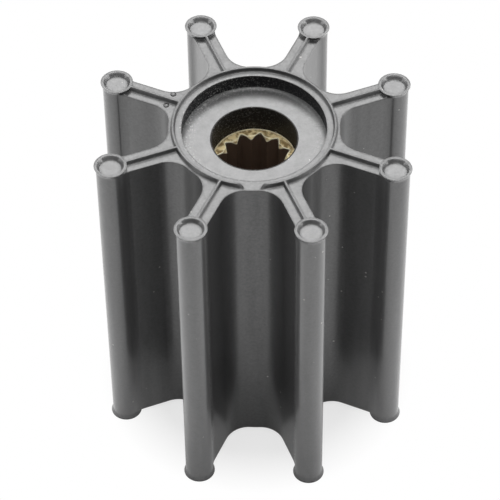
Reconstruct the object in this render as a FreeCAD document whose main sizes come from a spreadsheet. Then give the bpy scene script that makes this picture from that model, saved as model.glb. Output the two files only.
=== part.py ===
import FreeCAD, Part
import math
import os
import Sketcher
from FreeCAD import Placement, Rotation, Vector

# Flexible pump impeller, in millimetres.
# One rubber moulding carries eight straight vanes with round tip beads, and it is moulded onto a
# brass insert with a splined bore. The impeller stands on its lower end: the origin is at the
# centre of that end, +Z runs along the bore, and -Y points at the open notch of the hub's lip.

# Each row: name of the size, its value, what it measures.
SIZES = (
    ("overall_length", 74.0, "between the crests of the lips at both ends"),
    ("lip_height", 0.8, "how far rims and lips stand above the end faces"),
    ("hub_radius", 16.5, "hub between the vanes"),
    ("vane_count", 8, "number of vanes"),
    ("vane_thickness", 4.2, "web of a vane"),
    ("tip_circle_radius", 29.2, "circle through the middles of the tip beads"),
    ("bead_radius", 2.8, "round bead at a vane's tip"),
    ("neck_fillet", 4.3, "hollow where a vane meets its bead"),
    ("root_fillet", 5.0, "hollow where a vane meets the hub"),
    ("collar_radius", 3.15, "collar at its crest, round each end of a bead"),
    ("collar_height", 0.85, "slope from the collar's crest down to the bead"),
    ("rim_radius", 2.6, "inside of a collar's rim at the crest"),
    ("dish_radius", 2.1, "floor of the dish inside a rim"),
    ("lip_crest", 0.35, "width of a lip at its crest"),
    ("lip_base", 0.85, "width of a lip at its foot"),
    ("ring_lip_inset", 0.85, "middle line of the ring lip from the hub's edge"),
    ("notch_gap", 3.0, "open width between the feet of the lip's turned ends"),
    ("notch_corner", 0.9, "bend of the ring lip's middle line into a turned end"),
    ("notch_ramp", 0.9, "length of the slope that ends a turned lip"),
    ("notch_margin", 0.25, "hub's edge beyond the foot of that slope"),
    ("recess_wall", 2.5, "hub wall round the recess in each end"),
    ("recess_depth", 3.0, "recess below the end face"),
    ("passage_radius", 8.3, "round passage from the recess floor to the insert"),
    ("insert_setback", 9.0, "insert's end below the end face"),
    ("insert_flats", 21.0, "six-sided insert, across its flats"),
    ("spline_count", 12, "number of spline grooves"),
    ("spline_tip_radius", 5.9, "crests of the spline teeth"),
    ("spline_root_radius", 7.3, "bottoms of the spline grooves"),
    ("spline_mouth", 2.6, "width of a groove at the tooth crests"),
    ("spline_bottom", 0.3, "width of a groove at its bottom"),
    ("spline_lead_in", 0.6, "bevel at both mouths of the splined bore"),
    ("spline_turn", 22.3, "angle of the first groove, in degrees from +X"),
)

ZERO = Vector(0, 0, 0)
Z_DIRECTION = Vector(0, 0, 1)
FULL_TURN = 360
SAME_POINT = 0.001


class Dim:
    """A size known both as a number and as the sheet expression that yields it."""

    def __init__(self, value, text):
        self.value = float(value)
        self.text = text

    @staticmethod
    def of(other):
        return other if isinstance(other, Dim) else Dim(other, repr(float(other)))

    def __add__(self, other):
        other = Dim.of(other)
        return Dim(self.value + other.value, f"({self.text} + {other.text})")

    def __sub__(self, other):
        other = Dim.of(other)
        return Dim(self.value - other.value, f"({self.text} - {other.text})")

    def __mul__(self, other):
        other = Dim.of(other)
        return Dim(self.value * other.value, f"({self.text} * {other.text})")

    def __truediv__(self, other):
        other = Dim.of(other)
        return Dim(self.value / other.value, f"({self.text} / {other.text})")

    def __neg__(self):
        return Dim(-self.value, f"(-1 * {self.text})")


class Sizes:
    """The driving dimensions, each as a Dim that points at its cell in the sheet."""

    def __init__(self, sheet, rows):
        for name, value, _ in rows:
            setattr(self, name, Dim(value, f"{sheet.Name}.{name}"))


def make_sheet(doc):
    """Write the driving dimensions, one row each: meaning, then the value with its alias."""
    sheet = doc.addObject("Spreadsheet::Sheet", "sizes")
    for row, (name, value, meaning) in enumerate(SIZES, start=1):
        sheet.set(f"A{row}", meaning)
        sheet.set(f"B{row}", str(value))
        sheet.setAlias(f"B{row}", name)
    doc.recompute()
    return sheet


class Sketch:
    """A sketch on one origin plane of a body, drawn with Dims and bound to the sheet."""

    def __init__(self, body, role, name, turn=None, lift=None):
        self.sketch = body.newObject("Sketcher::SketchObject", name)
        plane = next(f for f in body.Origin.OriginFeatures if f.Role == role)
        self.sketch.AttachmentSupport = [(plane, "")]
        self.sketch.MapMode = "FlatFace"
        if turn is not None:
            # The XY plane turns about its own normal, an upright plane about its own upright axis.
            axis = Vector(0, 0, 1) if role == "XY_Plane" else Vector(0, 1, 0)
            self.sketch.AttachmentOffset = Placement(ZERO, Rotation(axis, turn.value))
            self.sketch.setExpression("AttachmentOffset.Rotation.Angle", turn.text)
        if lift is not None:
            self.sketch.setExpression("AttachmentOffset.Base.z", lift.text)

    def bind(self, kind, *args, size=None):
        """Add one constraint; with a size, its datum follows the sheet."""
        if size is None:
            return self.sketch.addConstraint(Sketcher.Constraint(kind, *args))
        index = self.sketch.addConstraint(Sketcher.Constraint(kind, *args, size.value))
        self.sketch.setExpression(f"Constraints[{index}]", size.text)
        return index

    def line(self, start, end):
        first = Vector(start[0], start[1], 0)
        last = Vector(end[0], end[1], 0)
        return self.sketch.addGeometry(Part.LineSegment(first, last), False)

    def arc(self, centre, radius, start_angle, end_angle):
        circle = Part.Circle(Vector(centre[0], centre[1], 0), Z_DIRECTION, radius)
        return self.sketch.addGeometry(Part.ArcOfCircle(circle, start_angle, end_angle), False)

    def circle(self, radius, middle=None):
        """A full circle whose middle is the sketch's origin, or lies at middle on its X axis."""
        centre = ZERO if middle is None else Vector(middle.value, 0, 0)
        edge = self.sketch.addGeometry(Part.Circle(centre, Z_DIRECTION, radius.value), False)
        self.bind("Radius", edge, size=radius)
        if middle is None:
            self.bind("Coincident", edge, 3, -1, 1)
        else:
            self.bind("PointOnObject", edge, 3, -1)
            self.bind("DistanceX", -1, 1, edge, 3, size=middle)

    def polygon(self, corners):
        """A closed outline whose every corner is set by two Dims; None lies on the axis there."""
        points = [(0.0 if x is None else x.value, 0.0 if y is None else y.value) for x, y in corners]
        count = len(points)
        first = self.sketch.GeometryCount
        for k in range(count):
            self.line(points[k], points[(k + 1) % count])
        for k in range(count):
            self.bind("Coincident", first + k, 2, first + (k + 1) % count, 1)
        for k, (x, y) in enumerate(corners):
            if x is None:
                self.bind("PointOnObject", first + k, 1, -2)
            else:
                self.bind("DistanceX", -1, 1, first + k, 1, size=x)
            if y is None:
                self.bind("PointOnObject", first + k, 1, -1)
            else:
                self.bind("DistanceY", -1, 1, first + k, 1, size=y)


def mirrored(corners):
    """The same outline at the other end: heights change sign and the order runs back."""
    return [(x, None if y is None else -y) for x, y in reversed(corners)]


def both_ways(body, name, kind, sketch, length):
    """A pad or pocket that runs half its length to each side of its sketch."""
    feature = body.newObject(f"PartDesign::{kind}", name)
    feature.Profile = sketch.sketch
    feature.SideType = "Symmetric"
    feature.setExpression("Length", length.text)
    return feature


def tapered(body, name, kind, sketch, length, slope):
    """A pad or pocket to one side of its sketch, which narrows by the slope as it goes."""
    feature = body.newObject(f"PartDesign::{kind}", name)
    feature.Profile = sketch.sketch
    feature.setExpression("Length", length.text)
    feature.setExpression("TaperAngle", f"-atan({slope.text})")
    return feature


def turned(body, name, sketch):
    """A cut turned about the upright axis of its sketch."""
    feature = body.newObject("PartDesign::Groove", name)
    feature.Profile = sketch.sketch
    feature.ReferenceAxis = (sketch.sketch, ["V_Axis"])
    feature.Angle = FULL_TURN
    return feature


def polar_pattern(body, name, originals, count):
    pattern = body.newObject("PartDesign::PolarPattern", name)
    pattern.Originals = originals
    pattern.Axis = (next(f for f in body.Origin.OriginFeatures if f.Role == "Z_Axis"), [""])
    pattern.Angle = FULL_TURN
    pattern.setExpression("Occurrences", count.text)
    body.Tip = pattern
    return pattern


def upright_edges(shape, distance):
    """Names of the edges that run parallel to the axis at this distance from it."""
    names = []
    for number, edge in enumerate(shape.Edges, start=1):
        foot = edge.Vertexes[0].Point
        run = edge.Vertexes[-1].Point - foot
        upright = math.hypot(run.x, run.y) < SAME_POINT < abs(run.z)
        if upright and abs(math.hypot(foot.x, foot.y) - distance) < SAME_POINT:
            names.append(f"Edge{number}")
    return names


def half_pitch(size):
    """Angle from +X to the first vane: half the angle between two vanes."""
    return Dim.of(FULL_TURN) / size.vane_count / 2


def half_heights(size):
    """Heights above the middle of the impeller: crest of the lips, end face, recess floor, insert."""
    crest = size.overall_length / 2
    face = crest - size.lip_height
    floor = face - size.recess_depth
    insert = face - size.insert_setback
    return crest, face, floor, insert


def insert_outline(body, name, size):
    """Six-sided outline that the insert and its seat in the rubber share."""
    half = size.insert_flats / 2
    corner = half * math.tan(math.pi / 6)
    outline = Sketch(body, "XY_Plane", name)
    outline.polygon([
        (half, -corner),
        (half, corner),
        (None, corner * 2),
        (-half, corner),
        (-half, -corner),
        (None, -corner * 2),
    ])
    return outline


def ring_lip_radius(size):
    return size.hub_radius - size.ring_lip_inset


def add_vanes(body, size):
    """Hub blank and the vanes with their beads, hollowed where they meet the hub."""
    _, face, _, _ = half_heights(size)
    outline = Sketch(body, "XY_Plane", "hub_outline")
    outline.circle(size.hub_radius)
    both_ways(body, "hub_blank", "Pad", outline, face * 2)

    half_web = size.vane_thickness.value / 2
    bead = size.bead_radius.value
    neck = size.neck_fillet.value
    centre = size.tip_circle_radius.value
    inner = size.hub_radius.value / 2

    # A hollow's middle lies one hollow radius from the web and from the bead.
    neck_y = half_web + neck
    neck_x = centre - math.sqrt((bead + neck) ** 2 - neck_y ** 2)
    lean = math.asin(neck_y / (bead + neck))

    web = Sketch(body, "XY_Plane", "vane_outline", turn=half_pitch(size))
    upper = web.line((inner, half_web), (neck_x, half_web))
    upper_neck = web.arc((neck_x, neck_y), neck, -math.pi / 2, -lean)
    tip = web.arc((centre, 0), bead, lean - math.pi, math.pi - lean)
    lower_neck = web.arc((neck_x, -neck_y), neck, lean, math.pi / 2)
    lower = web.line((neck_x, -half_web), (inner, -half_web))
    back = web.line((inner, -half_web), (inner, half_web))
    web.bind("Tangent", upper, 2, upper_neck, 1)
    web.bind("Tangent", upper_neck, 2, tip, 2)
    web.bind("Tangent", tip, 1, lower_neck, 1)
    web.bind("Tangent", lower_neck, 2, lower, 1)
    web.bind("Coincident", lower, 2, back, 1)
    web.bind("Coincident", back, 2, upper, 1)
    web.bind("Horizontal", upper)
    web.bind("Horizontal", lower)
    web.bind("Symmetric", upper, 1, lower, 2, -1)
    web.bind("PointOnObject", tip, 3, -1)
    web.bind("DistanceX", -1, 1, tip, 3, size=size.tip_circle_radius)
    web.bind("DistanceX", -1, 1, upper, 1, size=size.hub_radius / 2)
    web.bind("DistanceY", back, 1, back, 2, size=size.vane_thickness)
    web.bind("Radius", tip, size=size.bead_radius)
    web.bind("Radius", upper_neck, size=size.neck_fillet)
    web.bind("Radius", lower_neck, size=size.neck_fillet)
    vane = both_ways(body, "vane", "Pad", web, face * 2)
    vanes = polar_pattern(body, "vanes", [vane], size.vane_count)

    body.Document.recompute()
    roots = body.newObject("PartDesign::Fillet", "vane_roots")
    roots.Base = (vanes, upright_edges(vanes.Shape, size.hub_radius.value))
    roots.setExpression("Radius", size.root_fillet.text)
    body.Tip = roots


def add_collars_and_lips(body, size):
    """Dished collars on the beads and the lip along each vane, at both ends."""
    crest, face, _, _ = half_heights(size)
    middle = size.tip_circle_radius
    turn = half_pitch(size)
    inner = ring_lip_radius(size) - (size.lip_base - size.lip_crest) / 2
    outer = middle - (size.collar_radius + size.dish_radius) / 2
    half_base = size.lip_base / 2
    foot = [
        (inner, -half_base),
        (outer, -half_base),
        (outer, half_base),
        (inner, half_base),
    ]
    features = []
    for end, side in (("upper", 1), ("lower", -1)):
        # The collar's slope meets the bead at the collar's height and runs on inside it.
        rim = Sketch(body, "XY_Plane", f"{end}_collar_outline", turn=turn, lift=crest * side)
        rim.circle(size.collar_radius, middle)
        collar = tapered(body, f"{end}_collar", "Pad", rim, size.collar_height * 2,
                         (size.collar_radius - size.bead_radius) / size.collar_height)
        collar.Reversed = side > 0

        hollow = Sketch(body, "XY_Plane", f"{end}_dish_outline", turn=turn, lift=crest * side)
        hollow.circle(size.rim_radius, middle)
        dish = tapered(body, f"{end}_dish", "Pocket", hollow, size.lip_height,
                       (size.rim_radius - size.dish_radius) / size.lip_height)
        dish.Reversed = side < 0

        strip = Sketch(body, "XY_Plane", f"{end}_vane_lip_foot", turn=turn, lift=face * side)
        strip.polygon(foot)
        lip = tapered(body, f"{end}_vane_lip", "Pad", strip, size.lip_height,
                      (size.lip_base - size.lip_crest) / 2 / size.lip_height)
        lip.Reversed = side < 0
        features += [collar, dish, lip]
    polar_pattern(body, "collars_and_lips", features, size.vane_count)


def ring_lip_path(body, name, size, lift):
    """Middle line of the ring lip: open at -Y, where both ends turn out to the hub's edge."""
    ring = ring_lip_radius(size)
    corner = size.notch_corner
    wall = (size.notch_gap + size.lip_base) / 2
    end = -size.hub_radius

    # A bend's middle lies one corner radius from the ring and from the straight end.
    bend_x = wall.value + corner.value
    bend_y = -math.sqrt((ring.value + corner.value) ** 2 - bend_x ** 2)
    lean = math.atan2(bend_y, bend_x)

    path = Sketch(body, "XY_Plane", name, lift=lift)
    right_wall = path.line((wall.value, end.value), (wall.value, bend_y))
    right_bend = path.arc((bend_x, bend_y), corner.value, lean + math.pi, math.pi)
    circle = path.arc((0, 0), ring.value, lean, math.pi - lean)
    left_bend = path.arc((-bend_x, bend_y), corner.value, 0, -lean)
    left_wall = path.line((-wall.value, bend_y), (-wall.value, end.value))
    path.bind("Tangent", right_wall, 2, right_bend, 2)
    path.bind("Tangent", right_bend, 1, circle, 1)
    path.bind("Tangent", circle, 2, left_bend, 2)
    path.bind("Tangent", left_bend, 1, left_wall, 1)
    path.bind("Coincident", circle, 3, -1, 1)
    path.bind("Radius", circle, size=ring)
    path.bind("Radius", right_bend, size=corner)
    path.bind("Radius", left_bend, size=corner)
    path.bind("Vertical", right_wall)
    path.bind("Vertical", left_wall)
    path.bind("DistanceX", -1, 1, right_wall, 1, size=wall)
    path.bind("DistanceX", -1, 1, left_wall, 2, size=-wall)
    path.bind("DistanceY", -1, 1, right_wall, 1, size=end)
    path.bind("DistanceY", -1, 1, left_wall, 2, size=end)
    return path


def add_ring_lips(body, size):
    """Ring lip at both ends; its turned ends slope down to the hub's edge."""
    crest, face, _, _ = half_heights(size)
    wall = (size.notch_gap + size.lip_base) / 2
    for end, side in (("upper", 1), ("lower", -1)):
        path = ring_lip_path(body, f"{end}_ring_lip_path", size, face * side)
        section = Sketch(body, "XZ_Plane", f"{end}_ring_lip_section", lift=size.hub_radius)
        section.polygon([
            (wall - size.lip_base / 2, face * side),
            (wall + size.lip_base / 2, face * side),
            (wall + size.lip_crest / 2, crest * side),
            (wall - size.lip_crest / 2, crest * side),
        ])
        lip = body.newObject("PartDesign::AdditivePipe", f"{end}_ring_lip")
        lip.Profile = section.sketch
        lip.Spine = (path.sketch, [f"Edge{k + 1}" for k in range(path.sketch.GeometryCount)])
        lip.Mode = "Binormal"
        lip.Binormal = Z_DIRECTION

    reach = size.hub_radius - size.notch_margin
    beyond = size.hub_radius + size.lip_base
    above = crest + size.lip_height
    ramp = [
        (size.notch_ramp - reach, crest),
        (size.notch_ramp - reach, above),
        (-beyond, above),
        (-beyond, face),
        (-reach, face),
    ]
    slope = Sketch(body, "YZ_Plane", "notch_ramp_outline")
    slope.polygon(ramp)
    slope.polygon(mirrored(ramp))
    both_ways(body, "notch_ramps", "Pocket", slope, size.notch_gap + size.lip_base * 3)


def cut_hub(body, size):
    """Recess and shaft passage from both ends, and the seat of the insert between them."""
    _, face, floor, insert = half_heights(size)
    recess = size.hub_radius - size.recess_wall
    upper = [
        (None, face),
        (recess, face),
        (recess, floor),
        (size.passage_radius, floor),
    ]
    section = Sketch(body, "XZ_Plane", "hub_cavity_section")
    section.polygon(upper + mirrored(upper))
    turned(body, "hub_cavity", section)
    seat = insert_outline(body, "insert_seat_outline", size)
    both_ways(body, "insert_seat", "Pocket", seat, insert * 2)


def make_rubber(doc, size):
    """The rubber moulding: one solid."""
    body = doc.addObject("PartDesign::Body", "rubber_impeller")
    body.Label = "rubber_impeller"
    add_vanes(body, size)
    cut_hub(body, size)
    add_collars_and_lips(body, size)
    add_ring_lips(body, size)
    return body


def make_insert(doc, size):
    """The brass insert: six-sided bar with a splined bore, opened out at both mouths."""
    body = doc.addObject("PartDesign::Body", "spline_insert")
    body.Label = "spline_insert"
    _, _, _, end = half_heights(size)
    tip = size.spline_tip_radius
    both_ways(body, "insert_blank", "Pad", insert_outline(body, "insert_outline", size), end * 2)

    mouth = [
        (None, end),
        (tip + size.spline_lead_in, end),
        (tip, end - size.spline_lead_in),
    ]
    # The section stands in the middle of a groove, which cuts away the seam of the turned bore.
    section = Sketch(body, "XZ_Plane", "bore_section", turn=size.spline_turn)
    section.polygon(mouth + mirrored(mouth))
    turned(body, "bore", section)

    # The groove's flanks run on inwards past the tooth crests, so that the cut is clean.
    run_on = size.spline_lead_in
    flank = (size.spline_mouth - size.spline_bottom) / 2 / (size.spline_root_radius - tip)
    half_mouth = size.spline_mouth / 2 + flank * run_on
    half_bottom = size.spline_bottom / 2
    groove = Sketch(body, "XY_Plane", "spline_groove_outline", turn=size.spline_turn)
    groove.polygon([
        (tip - run_on, -half_mouth),
        (size.spline_root_radius, -half_bottom),
        (size.spline_root_radius, half_bottom),
        (tip - run_on, half_mouth),
    ])
    cut = both_ways(body, "spline_groove", "Pocket", groove, size.overall_length)
    polar_pattern(body, "spline_grooves", [cut], size.spline_count)
    return body


def check_and_write(doc, bodies):
    """Stop on any failed object or solid, then write one file for each sub-part."""
    for item in doc.Objects:
        if "Invalid" in item.State or "Error" in item.State:
            raise RuntimeError(f"{item.Name} failed: {item.State}")
    os.makedirs("parts", exist_ok=True)
    for body in bodies:
        shape = body.Shape
        if shape.isNull() or not shape.isValid() or len(shape.Solids) != 1:
            raise RuntimeError(f"{body.Label} is not one valid solid")
        shape.exportStep(f"parts/{body.Label}.step")
        print(body.Label, "volume", round(shape.Volume, 1), "box", shape.BoundBox)


def main():
    doc = FreeCAD.newDocument("impeller")
    size = Sizes(make_sheet(doc), SIZES)
    bodies = [make_rubber(doc, size), make_insert(doc, size)]
    for body in bodies:
        body.Placement = Placement(Vector(0, 0, size.overall_length.value / 2), Rotation())
        body.setExpression("Placement.Base.z", (size.overall_length / 2).text)
    doc.recompute()
    check_and_write(doc, bodies)


main()
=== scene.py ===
import math

import bpy
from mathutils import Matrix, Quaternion, Vector


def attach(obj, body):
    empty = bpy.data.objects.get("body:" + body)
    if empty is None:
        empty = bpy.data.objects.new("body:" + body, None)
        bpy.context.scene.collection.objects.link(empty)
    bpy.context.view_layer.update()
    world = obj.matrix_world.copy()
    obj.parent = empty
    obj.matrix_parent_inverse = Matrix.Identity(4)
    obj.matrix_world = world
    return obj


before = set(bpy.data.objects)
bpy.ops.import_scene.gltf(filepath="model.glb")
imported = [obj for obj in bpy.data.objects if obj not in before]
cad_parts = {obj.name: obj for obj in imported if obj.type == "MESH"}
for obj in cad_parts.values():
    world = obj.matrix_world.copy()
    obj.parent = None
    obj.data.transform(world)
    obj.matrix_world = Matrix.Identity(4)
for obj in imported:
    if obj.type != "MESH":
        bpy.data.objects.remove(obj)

bpy.context.view_layer.update()

# Camera: above and in front of the notch, far away, looking down at the middle of the impeller.
CAMERA_AIM = Vector((-0.00111, -0.00004, 0.03775))
CAMERA_DISTANCE = 0.54634
CAMERA_ELEVATION = math.radians(48.523)
CAMERA_AZIMUTH = math.radians(1.902)
CAMERA_ROLL = math.radians(-0.761)
CAMERA_LENS = 195.17

WHITE = (1.0, 1.0, 1.0, 1.0)

# Radii of the shaft passage and of the recess's wall, and how near to them a point still counts.
PASSAGE_RADIUS = 0.0083
RECESS_RADIUS = 0.0140
MASK_MARGIN = 0.00025

# A bit past the hub's edge, and where a vane ends and its bead begins and is fully smoothed and painted
# a lighter grey.
HUB_OUTSIDE = (0.0174, 0.0204)
BEAD_START = (0.0261, 0.0282)

# Past these lengths from the axis nothing changes any more: on the rubber and on the floor.
RUBBER_SPAN = 0.030
FLOOR_SPAN = 0.100

# Heights: the vanes' upper faces and the impeller's middle, and how far from the middle the
# recess's corner ends and the raised lips and collars begin.
VANE_TOP = 0.0732
VANE_MIDDLE = 0.0370
COVE_REACH = 0.0350
RAISED_REACH = 0.0355

# How far the shading rounds edges: everywhere, more on lips, on collars and in the recess's corner.
EDGE_SOFTNESS = 0.0003
LIP_SOFTNESS = 0.0003
COLLAR_SOFTNESS = 0.0004
COVE_SOFTNESS = 0.0020

# The insert: how its edges are rounded, how wide the painted highlight along them reaches, and how deep
# into its mouths.
BRASS_SOFTNESS = 0.00035
BRASS_HIGHLIGHT_WIDTH = 0.0006
MOUTH_DEPTH = 0.0006

# Mould pips: the direction of the vane that carries them, their distance from the axis, and how
# far each lies to the side of the vane's middle.
PIP_VANE = math.radians(157.5)
PIP_DISTANCE = 0.0180
PIP_OFFSETS = {"inner": -0.00197, "outer": 0.00130}
PIP_RADIUS = 0.00062
PIP_RISE = 0.00016
PIP_SUNK = 0.00005

# The thin raised edge at each end of the insert.
RIM_WIDTH = 0.00030
RIM_RISE = 0.00022
RIM_SUNK = 0.00010

# Lamps: azimuth (0 in front, 180 behind), elevation, distance, width, height and power.
LAMPS = {
    "back_softbox": (180, 54, 0.6, 0.5, 0.4, 2.45),
    "top_softbox": (0, 86, 0.7, 0.3, 0.3, 2.1),
    "left_softbox": (-98, 9, 0.7, 0.8, 0.3, 2.5),
    "right_softbox": (98, 9, 0.7, 0.8, 0.3, 4.0),
}
LAMP_TARGET = Vector((0, 0, 0.05))
WORLD_FILL = 0.15
WORLD_GLOSSY_SHARE = 0.35

# The floor, and the shape of its dark part in mirrored light.
FLOOR_HALF = 3.0
OVAL_SHIFT = (0.0, 0.012, 0.0)
OVAL_STRETCH = (1.5, 1.0, 1.0)


class Nodes:
    """A node tree with short calls for adding and joining nodes."""

    def __init__(self, tree):
        self.tree = tree
        tree.nodes.clear()

    def add(self, kind, inputs=None, **settings):
        """Add one node; inputs maps a socket's name or place to a value or to another node's output."""
        node = self.tree.nodes.new(kind)
        for name, value in settings.items():
            setattr(node, name, value)
        for name, value in (inputs or {}).items():
            if isinstance(value, bpy.types.NodeSocket):
                self.tree.links.new(value, node.inputs[name])
            else:
                node.inputs[name].default_value = value
        return node

    def math(self, operation, first, second=0.0, third=0.0):
        """A number worked out from up to three others."""
        node = self.add("ShaderNodeMath", {0: first, 1: second, 2: third}, operation=operation)
        return node.outputs[0]

    def ramp(self, value, stops):
        """A colour ramp; stops are (place, grey) or (place, colour)."""
        node = self.add("ShaderNodeValToRGB", {0: value})
        elements = node.color_ramp.elements
        while len(elements) < len(stops):
            elements.new(0.5)
        for element, (place, colour) in zip(elements, stops):
            element.position = place
            element.color = (colour, colour, colour, 1) if isinstance(colour, float) else colour
        return node.outputs[0]

    def length_ramp(self, length, span, stops):
        """A ramp over a length in metres; stops are (length, grey), none past span."""
        share = self.math("MULTIPLY", length, 1.0 / span)
        return self.ramp(share, [(stop / span, grey) for stop, grey in stops])

    def noise(self, where, scale, detail=4.0, roughness=0.5):
        """Cloudy noise between 0 and 1."""
        node = self.add("ShaderNodeTexNoise", {"Vector": where, "Scale": scale, "Detail": detail,
                                               "Roughness": roughness})
        return node.outputs["Fac"]

    def mix(self, amount, first, second):
        """A colour between two others, by amount."""
        node = self.add("ShaderNodeMix", data_type="RGBA", blend_type="MIX")
        for place, value in ((0, amount), (6, first), (7, second)):
            if isinstance(value, bpy.types.NodeSocket):
                self.tree.links.new(value, node.inputs[place])
            else:
                node.inputs[place].default_value = value
        return node.outputs[2]


def new_material(name):
    """An empty node material and its nodes."""
    material = bpy.data.materials.new(name)
    material.use_nodes = True
    return material, Nodes(material.node_tree)


def dust_mask(nodes, where, scale, share, radius):
    """Round specks: 1 inside the few cells of a Voronoi pattern that carry one."""
    cells = nodes.add("ShaderNodeTexVoronoi", {"Vector": where, "Scale": scale})
    colour = nodes.add("ShaderNodeSeparateColor", {0: cells.outputs["Color"]})
    chosen = nodes.math("LESS_THAN", colour.outputs[0], share)
    size = nodes.math("MULTIPLY", colour.outputs[1], radius)
    inside = nodes.math("LESS_THAN", cells.outputs["Distance"], size)
    return nodes.math("MULTIPLY", chosen, inside)


def axis_distance(nodes, where):
    """How far a point lies from the impeller's axis."""
    place = nodes.add("ShaderNodeSeparateXYZ", {0: where})
    across = nodes.add("ShaderNodeCombineXYZ", {0: place.outputs[0], 1: place.outputs[1]})
    distance = nodes.add("ShaderNodeVectorMath", {0: across.outputs[0]}, operation="LENGTH")
    return distance.outputs["Value"]


def middle_distance(nodes, where):
    """How far a point lies above or below the impeller's middle."""
    place = nodes.add("ShaderNodeSeparateXYZ", {0: where})
    return nodes.math("ABSOLUTE", nodes.math("SUBTRACT", place.outputs[2], VANE_MIDDLE))


def upright_mask(nodes):
    """1 on upright walls, 0 on faces that look up or down."""
    normal = nodes.add("ShaderNodeNewGeometry").outputs["Normal"]
    facing = nodes.add("ShaderNodeSeparateXYZ", {0: normal})
    return nodes.ramp(nodes.math("ABSOLUTE", facing.outputs[2]), ((0.25, 1.0), (0.5, 0.0)))


def rubber_colour(nodes, where, radius, bead_share, passage, recess_wall):
    """Near-black rubber with talc left in the hub, a few coarse specks anywhere, and painted light: a
    lighter grey on the beads and on the passage wall.
    """
    blotch = nodes.noise(where, 90.0, 3.0)
    base = nodes.mix(blotch, (0.009, 0.009, 0.0095, 1), (0.014, 0.014, 0.0145, 1))
    # Painted light: the beads get a lighter grey that stands in for the light they catch.
    bead_painted_light = nodes.mix(bead_share, base, (0.060, 0.060, 0.061, 1))
    dull = nodes.mix(recess_wall, bead_painted_light, (0.016, 0.016, 0.017, 1))
    # Painted light: the passage wall gets a lighter, brownish grey that stands in for the light
    # reaching into it.
    passage_painted_light = nodes.mix(passage, dull, (0.026, 0.024, 0.022, 1))

    # Talc lies in the passage and in the recess's corner, more of it on the left.
    corner = nodes.length_ramp(radius, RUBBER_SPAN, (
        (0.00831, 1.0), (0.00855, 0.0), (0.0111, 0.0), (0.0132, 1.0), (0.01428, 1.0), (0.0144, 0.0)))
    powder = nodes.ramp(nodes.noise(where, 2600.0, 3.0, 0.75), ((0.53, 0.0), (0.68, 1.0)))
    place = nodes.add("ShaderNodeSeparateXYZ", {0: where})
    from_left = nodes.math("MULTIPLY_ADD", place.outputs[0], 50.0, 0.5)
    side = nodes.ramp(from_left, ((0.1, 0.9), (0.8, 0.25)))
    talc = nodes.math("MULTIPLY", powder, nodes.math("MULTIPLY", corner, side))
    dusty = nodes.mix(talc, passage_painted_light, (0.30, 0.30, 0.29, 1))
    specks = dust_mask(nodes, where, 1500.0, 0.012, 0.30)
    return nodes.mix(specks, dusty, (0.30, 0.29, 0.27, 1))


def rubber_gloss(nodes, where, radius, grain, upright, inside):
    """Gloss varies with grain and drawn streaks, is full on the recess's floor and low inside."""
    tall = nodes.add("ShaderNodeVectorMath", {0: where, 1: (1.0, 1.0, 0.08)}, operation="MULTIPLY")
    streak = nodes.noise(tall.outputs[0], 500.0, 3.0)
    recess_floor = nodes.length_ramp(radius, RUBBER_SPAN, ((0.0138, 0.16), (0.0144, 0.0)))
    hub = nodes.length_ramp(radius, RUBBER_SPAN, zip(HUB_OUTSIDE, (0.11, 0.0)))
    hub_wall = nodes.math("MULTIPLY", upright, hub)
    grainy = nodes.math("MULTIPLY_ADD", grain, 0.9, 0.29)
    streaked = nodes.math("ADD", grainy, nodes.math("MULTIPLY", streak, 0.4))
    gloss_or_painted_highlight = nodes.math("SUBTRACT", nodes.math("ADD", streaked, recess_floor), hub_wall)
    kept = nodes.math("SUBTRACT", 1.0, nodes.math("MULTIPLY", inside, 0.85))
    return nodes.math("MULTIPLY", gloss_or_painted_highlight, kept)


def rubber_normal(nodes, where, radius, grain, bead_share):
    """Softly rounded edges and corners under a fine grain."""
    from_middle = middle_distance(nodes, where)
    raised = nodes.math("GREATER_THAN", from_middle, RAISED_REACH)
    collar = nodes.math("MULTIPLY", bead_share, raised)
    corner = nodes.length_ramp(radius, RUBBER_SPAN, (
        (0.0108, 0.0), (0.0120, 1.0), (0.01425, 1.0), (0.0144, 0.0)))
    cove = nodes.math("MULTIPLY", corner, nodes.math("LESS_THAN", from_middle, COVE_REACH))
    soft = nodes.math("MULTIPLY_ADD", raised, LIP_SOFTNESS, EDGE_SOFTNESS)
    soft = nodes.math("MULTIPLY_ADD", collar, COLLAR_SOFTNESS, soft)
    soft = nodes.math("MULTIPLY_ADD", cove, COVE_SOFTNESS, soft)
    bevel = nodes.add("ShaderNodeBevel", {"Radius": soft}, samples=8)
    fine = nodes.noise(where, 5200.0, 2.0)
    height = nodes.math("ADD", nodes.math("MULTIPLY", grain, 0.6), nodes.math("MULTIPLY", fine, 0.4))
    bump = nodes.add("ShaderNodeBump", {"Strength": 0.7, "Distance": 0.00005, "Height": height,
                                        "Normal": bevel.outputs[0]})
    return bump.outputs[0]


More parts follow.
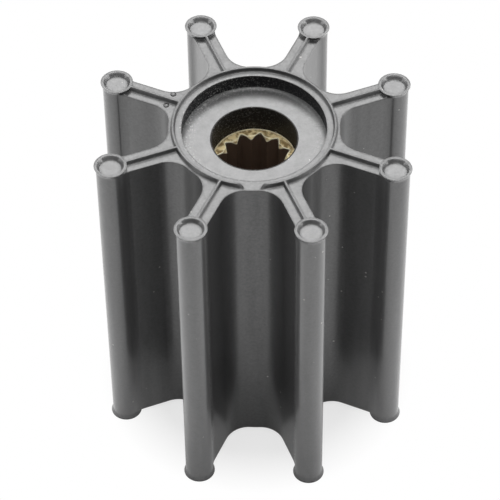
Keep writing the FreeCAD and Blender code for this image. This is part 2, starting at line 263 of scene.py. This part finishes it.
def rubber_material():
    """Satin moulded rubber: dull inside the hub, smoother where the tip beads rub, and painted a
    lighter grey on the beads as painted light.
    """
    material, nodes = new_material("satin_rubber")
    where = nodes.add("ShaderNodeTexCoord").outputs["Object"]
    radius = axis_distance(nodes, where)
    upright = upright_mask(nodes)
    grain = nodes.noise(where, 1800.0, 4.0, 0.7)

    bead_share = nodes.length_ramp(radius, RUBBER_SPAN, zip(BEAD_START, (0.0, 1.0)))
    passage = nodes.math("LESS_THAN", radius, PASSAGE_RADIUS + MASK_MARGIN)
    recess_wall = nodes.math("MULTIPLY", upright,
                             nodes.math("COMPARE", radius, RECESS_RADIUS, MASK_MARGIN))
    inside = nodes.math("MAXIMUM", passage, recess_wall)
    satin = nodes.math("ADD", nodes.math("MULTIPLY", grain, 0.16), 0.34)
    gloss = rubber_gloss(nodes, where, radius, grain, upright, inside)
    shader = nodes.add("ShaderNodeBsdfPrincipled", {
        "Base Color": rubber_colour(nodes, where, radius, bead_share, passage, recess_wall),
        "Roughness": nodes.math("ADD", satin, nodes.math("MULTIPLY", inside, 0.3)),
        "Specular IOR Level": gloss,
        "Coat Weight": gloss,
        "Coat Roughness": nodes.math("SUBTRACT", 0.24, nodes.math("MULTIPLY", bead_share, 0.10)),
        "Coat IOR": 1.5,
        "Sheen Weight": nodes.math("MULTIPLY", bead_share, 0.10),
        "Sheen Roughness": 0.3,
        "Normal": rubber_normal(nodes, where, radius, grain, bead_share),
    })
    nodes.add("ShaderNodeOutputMaterial", {"Surface": shader.outputs[0]})
    return material


def brass_material(insert):
    """Brass: a painted highlight on the edges round the mouths, tarnished faces, and painted shade on
    the upright walls.
    """
    material, nodes = new_material("brass")
    where = nodes.add("ShaderNodeTexCoord").outputs["Object"]
    tarnish = nodes.noise(where, 900.0, 4.0)
    streak = nodes.noise(where, 2200.0, 2.0)
    upright = upright_mask(nodes)
    bevel = nodes.add("ShaderNodeBevel", {"Radius": BRASS_SOFTNESS}, samples=8)

    # An edge is where the rounded normal leaves the face's own; edges round the mouths get a painted
    # highlight.
    face = nodes.add("ShaderNodeNewGeometry").outputs["Normal"]
    wide = nodes.add("ShaderNodeBevel", {"Radius": BRASS_HIGHLIGHT_WIDTH}, samples=8)
    turn = nodes.add("ShaderNodeVectorMath", {0: wide.outputs[0], 1: face}, operation="DOT_PRODUCT")
    gloss_or_painted_highlight = nodes.ramp(turn.outputs["Value"], ((0.90, 1.0), (0.99, 0.0)))
    half_length = max(corner[2] for corner in insert.bound_box) - VANE_MIDDLE
    mouth = nodes.math("GREATER_THAN", middle_distance(nodes, where), half_length - MOUTH_DEPTH)
    gloss_or_painted_highlight = nodes.math("MULTIPLY", gloss_or_painted_highlight, mouth)

    faces = nodes.mix(nodes.ramp(tarnish, ((0.44, 0.0), (0.60, 1.0))),
                      (0.90, 0.75, 0.42, 1), (0.28, 0.19, 0.075, 1))
    # Painted shade: upright walls take a dark brown and lose their metal, standing in for the shade in
    # the bore.
    walls_painted_shade = nodes.mix(upright, faces, (0.21, 0.145, 0.105, 1))
    # Painted highlight: the edges round the mouths take a pale, non-metallic colour and less roughness.
    colour = nodes.mix(gloss_or_painted_highlight, walls_painted_shade, (1.0, 0.95, 0.70, 1))
    dull = nodes.math("MULTIPLY_ADD", tarnish, 0.3, 0.35)
    painted_shade_or_highlight = nodes.math("MAXIMUM", upright, gloss_or_painted_highlight)
    bump = nodes.add("ShaderNodeBump", {"Strength": 0.8, "Distance": 0.0001, "Height": streak,
                                        "Normal": bevel.outputs[0]})
    shader = nodes.add("ShaderNodeBsdfPrincipled", {
        "Base Color": colour,
        "Metallic": nodes.math("SUBTRACT", 0.4, nodes.math("MULTIPLY", painted_shade_or_highlight, 0.4)),
        "Roughness": nodes.math("SUBTRACT", dull, nodes.math("MULTIPLY", gloss_or_painted_highlight, 0.15)),
        "Normal": bump.outputs[0],
    })
    nodes.add("ShaderNodeOutputMaterial", {"Surface": shader.outputs[0]})
    return material


def set_material(piece, material):
    """Give a piece this one material."""
    piece.data.materials.clear()
    piece.data.materials.append(material)


def make_floor():
    """A pale floor: white to the camera apart from the shadow, darker below in mirrored light."""
    mesh = bpy.data.meshes.new("floor")
    corners = [(-1, -1), (1, -1), (1, 1), (-1, 1)]
    mesh.from_pydata([(x * FLOOR_HALF, y * FLOOR_HALF, 0) for x, y in corners], [], [(0, 1, 2, 3)])
    floor = bpy.data.objects.new("floor", mesh)
    bpy.context.scene.collection.objects.link(floor)
    material, nodes = new_material("pale_floor")
    diffuse = nodes.add("ShaderNodeBsdfDiffuse", {"Color": (0.9, 0.9, 0.9, 1)})
    glow = nodes.add("ShaderNodeEmission", {"Color": WHITE, "Strength": 1.0})
    where = nodes.add("ShaderNodeTexCoord").outputs["Object"]
    distance = nodes.add("ShaderNodeVectorMath", {0: where}, operation="LENGTH").outputs["Value"]
    around = nodes.length_ramp(distance, FLOOR_SPAN, ((0.022, 0.70), (0.033, 1.0)))

    # In mirrored light the dark part is an oval that reaches forward from under the impeller.
    ahead = nodes.add("ShaderNodeVectorMath", {0: where, 1: OVAL_SHIFT}, operation="ADD")
    narrow = nodes.add("ShaderNodeVectorMath", {0: ahead.outputs[0], 1: OVAL_STRETCH},
                       operation="MULTIPLY")
    oval = nodes.add("ShaderNodeVectorMath", {0: narrow.outputs[0]}, operation="LENGTH")
    beyond = nodes.length_ramp(oval.outputs["Value"], FLOOR_SPAN, (
        (0.022, 0.06), (0.038, 0.32), (0.052, 0.84), (0.066, 1.0)))
    path = nodes.add("ShaderNodeLightPath")
    share = nodes.math("ADD", nodes.math("MULTIPLY", path.outputs["Is Camera Ray"], around),
                       nodes.math("MULTIPLY", path.outputs["Is Glossy Ray"], beyond))
    both = nodes.add("ShaderNodeMixShader", {0: share, 1: diffuse.outputs[0], 2: glow.outputs[0]})
    nodes.add("ShaderNodeOutputMaterial", {"Surface": both.outputs[0]})
    set_material(floor, material)


def make_world():
    """White to the camera, a dim even fill for everything else and a share of white in gloss."""
    world = bpy.data.worlds.new("studio")
    world.use_nodes = True
    nodes = Nodes(world.node_tree)
    dim = nodes.add("ShaderNodeBackground", {"Color": WHITE, "Strength": WORLD_FILL})
    white = nodes.add("ShaderNodeBackground", {"Color": WHITE, "Strength": 1.0})
    path = nodes.add("ShaderNodeLightPath")
    glossy = nodes.math("MULTIPLY", path.outputs["Is Glossy Ray"], WORLD_GLOSSY_SHARE)
    seen = nodes.math("MAXIMUM", path.outputs["Is Camera Ray"], path.outputs["Is Transmission Ray"])
    share = nodes.math("MAXIMUM", seen, glossy)
    both = nodes.add("ShaderNodeMixShader", {0: share, 1: dim.outputs[0], 2: white.outputs[0]})
    nodes.add("ShaderNodeOutputWorld", {"Surface": both.outputs[0]})
    bpy.context.scene.world = world


def add_softbox(name, azimuth, elevation, distance, width, height, power):
    """A rectangular lamp that faces the impeller; azimuth 0 is in front, 180 behind."""
    a, e = math.radians(azimuth), math.radians(elevation)
    toward = Vector((math.sin(a) * math.cos(e), -math.cos(a) * math.cos(e), math.sin(e)))
    data = bpy.data.lights.new(name, "AREA")
    data.shape = "RECTANGLE"
    data.size, data.size_y = width, height
    data.energy = power
    lamp = bpy.data.objects.new(name, data)
    bpy.context.scene.collection.objects.link(lamp)
    lamp.location = LAMP_TARGET + toward * distance
    lamp.rotation_mode = "QUATERNION"
    lamp.rotation_quaternion = toward.to_track_quat("Z", "Y")
    lamp.visible_camera = False


def add_piece(name, vertices, faces, carrier, slot):
    """A smooth-shaded piece with its carrier's material, riding on the body."""
    mesh = bpy.data.meshes.new(name)
    mesh.from_pydata(vertices, [], faces)
    for face in mesh.polygons:
        face.use_smooth = True
    piece = bpy.data.objects.new(name, mesh)
    bpy.context.scene.collection.objects.link(piece)
    mesh.materials.append(carrier.data.materials[0])
    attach(piece, "root")
    return piece


def turned_ring(profile, segments=96):
    """Vertices and faces of a closed ring: (radius, height) points turned round the Z axis."""
    count = len(profile)
    vertices, faces = [], []
    for k in range(segments):
        angle = 2 * math.pi * k / segments
        vertices += [(r * math.cos(angle), r * math.sin(angle), z) for r, z in profile]
        here, there = k * count, (k + 1) % segments * count
        faces += [(here + i, there + i, there + (i + 1) % count, here + (i + 1) % count)
                  for i in range(count)]
    return vertices, faces


def add_insert_rims(insert):
    """The raised outer edge that closes each end of the insert against the rubber."""
    steps = 6
    ends = [corner[2] for corner in insert.bound_box]
    for name, face, side in (("upper", max(ends), 1), ("lower", min(ends), -1)):
        arch = []
        for k in range(steps + 1):
            angle = math.pi * k / steps
            arch.append((PASSAGE_RADIUS - RIM_WIDTH / 2 * (1 - math.cos(angle)),
                         face + side * RIM_RISE * math.sin(angle)))
        foot = face - side * RIM_SUNK
        arch += [(PASSAGE_RADIUS - RIM_WIDTH, foot), (PASSAGE_RADIUS, foot)]
        ring = add_piece(f"insert_rim_{name}", *turned_ring(arch[::side]), insert, "brass")
        ring.data.set_sharp_from_angle(angle=math.radians(50))


def dome(centre, level, rings=4, segments=24):
    """Vertices and faces of a low closed dome that stands on a level face."""
    vertices = [(centre.x, centre.y, level + PIP_RISE), (centre.x, centre.y, level - PIP_SUNK)]
    for ring in range(1, rings + 1):
        slope = math.pi / 2 * ring / rings
        reach = PIP_RADIUS * math.sin(slope)
        height = level + (PIP_RISE * math.cos(slope) if ring < rings else -PIP_SUNK)
        for k in range(segments):
            angle = 2 * math.pi * k / segments
            vertices.append((centre.x + reach * math.cos(angle),
                             centre.y + reach * math.sin(angle), height))
    faces = []
    last = 2 + (rings - 1) * segments
    for k in range(segments):
        after = (k + 1) % segments
        faces.append((0, 2 + k, 2 + after))
        for here in range(2, last, segments):
            there = here + segments
            faces.append((here + k, there + k, there + after, here + after))
        faces.append((1, last + after, last + k))
    return vertices, faces


def add_mould_pips(rubber):
    """Two low plain domes on one vane's upper face, where a mould leaves its mark."""
    along = Vector((math.cos(PIP_VANE), math.sin(PIP_VANE)))
    across = Vector((-math.sin(PIP_VANE), math.cos(PIP_VANE)))
    for name, offset in PIP_OFFSETS.items():
        centre = along * PIP_DISTANCE + across * offset
        add_piece(f"mould_pip_{name}", *dome(centre, VANE_TOP), rubber, "rubber")


def make_camera():
    """The camera of the main view, aimed at the impeller and rolled a little."""
    back = Vector((math.cos(CAMERA_ELEVATION) * math.sin(CAMERA_AZIMUTH),
                   -math.cos(CAMERA_ELEVATION) * math.cos(CAMERA_AZIMUTH),
                   math.sin(CAMERA_ELEVATION)))
    data = bpy.data.cameras.new("camera")
    data.sensor_width = 36.0
    data.lens = CAMERA_LENS
    data.clip_start, data.clip_end = 0.01, 10.0
    camera = bpy.data.objects.new("camera", data)
    bpy.context.scene.collection.objects.link(camera)
    camera.location = CAMERA_AIM + back * CAMERA_DISTANCE
    camera.rotation_mode = "QUATERNION"
    level = (-back).to_track_quat("-Z", "Y")
    camera.rotation_quaternion = level @ Quaternion((0, 0, 1), CAMERA_ROLL)
    bpy.context.scene.camera = camera


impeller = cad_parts["rubber_impeller"]
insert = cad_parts["spline_insert"]
set_material(impeller, rubber_material())
set_material(insert, brass_material(insert))
add_insert_rims(insert)
add_mould_pips(impeller)
make_camera()
make_world()
make_floor()
for lamp_name, placing in LAMPS.items():
    add_softbox(lamp_name, *placing)

bpy.context.scene.view_settings.view_transform = "Standard"
bpy.context.view_layer.update()
